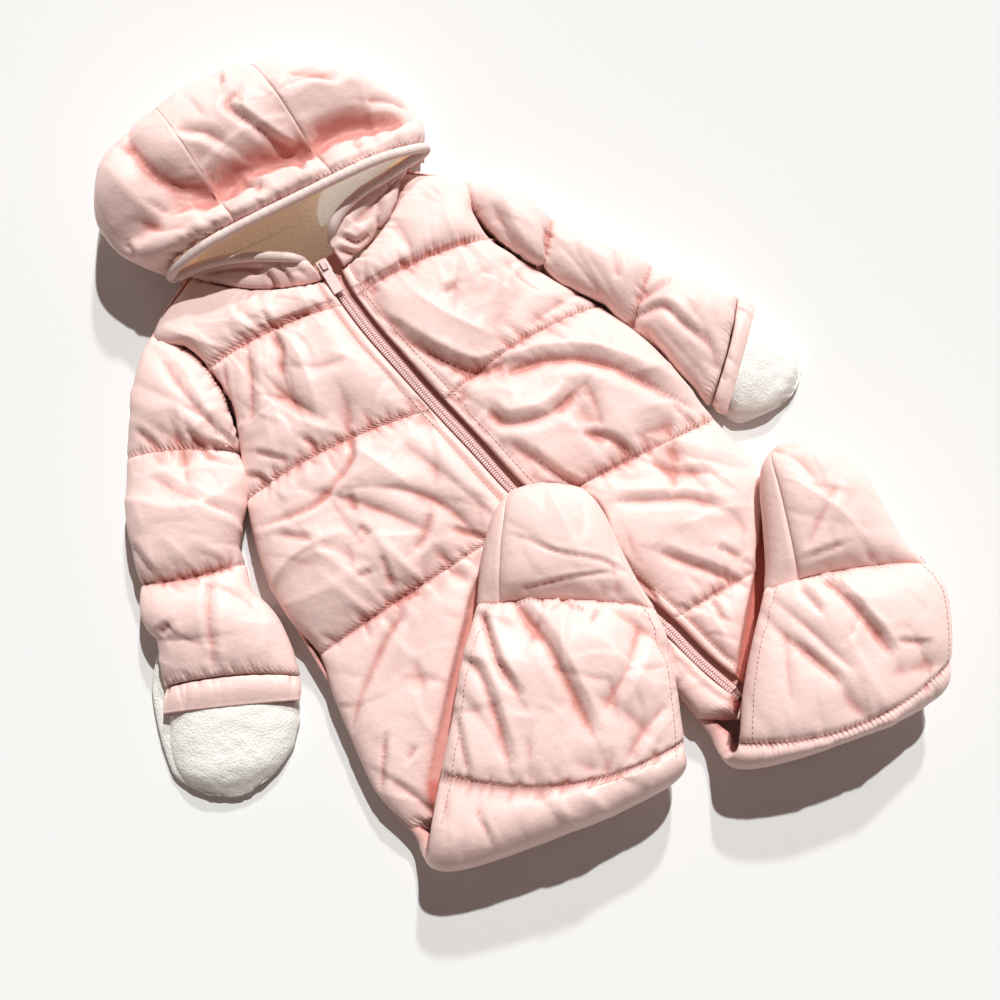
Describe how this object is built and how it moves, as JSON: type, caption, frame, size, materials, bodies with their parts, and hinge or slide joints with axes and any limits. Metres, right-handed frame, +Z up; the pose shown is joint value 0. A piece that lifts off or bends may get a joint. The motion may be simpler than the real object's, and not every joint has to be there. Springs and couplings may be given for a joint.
{
  "type": "hooded padded baby snowsuit laid flat with folded legs",
  "caption": "Hooded padded baby snowsuit laid on its back, zip closed, fold-over mitts at the sleeve ends and both footed lower legs folded up over the thighs.",
  "frame": {"origin": "middle of the laid garment's bounding box, on the surface it lies on", "axes": "+Y from the crotch to the hood, +X to the wearer's left, +Z up from the surface"},
  "size_m": [0.5105, 0.6296, 0.0706],
  "materials": {
    "padded_satin": "satin-faced polyester over light wadding",
    "cream_fleece": "napped fleece",
    "knitted_binding": "matte elastic jersey",
    "zip_tape_pink": "woven tape",
    "zip_coil_pink": "semi-matte",
    "zip_tab_pink": "matte"
  },
  "bodies": {
    "suit": {"front_right": "padded_satin", "front_left": "padded_satin", "front_left_inseam": "padded_satin", "back_right": "padded_satin", "back_left": "padded_satin", "shin_right": "padded_satin", "shin_left": "padded_satin", "bootie_right": "padded_satin", "bootie_left": "padded_satin", "sole_right": "padded_satin", "sole_left": "padded_satin", "sleeve_right": "padded_satin", "sleeve_left": "padded_satin", "cuff_right": "padded_satin", "cuff_left": "padded_satin", "mitt_top_right": "cream_fleece", "mitt_top_left": "cream_fleece", "mitt_under_right": "cream_fleece", "mitt_under_left": "cream_fleece", "hood_centre": "padded_satin", "hood_side_right": "padded_satin", "hood_side_left": "padded_satin", "hood_lining": "cream_fleece", "nape_lining": "cream_fleece", "hood_binding": "knitted_binding", "chin_right": "padded_satin", "chin_left": "padded_satin", "zip_tape_right": "zip_tape_pink", "zip_tape_left": "zip_tape_pink", "zip_coil": "zip_coil_pink", "zip_slider": "zip_coil_pink"},
    "pull_tab": {"zip_pull_tab": "zip_tab_pink"}
  },
  "joints": [
    {"name": "pull_tab_hinge", "type": "hinge", "parent": "suit", "child": "pull_tab", "pos_m": [0.01619, 0.1526, 0.033], "axis": [-0.9974, 0.0715, 0], "range_deg": [0, 110]}
  ]
}
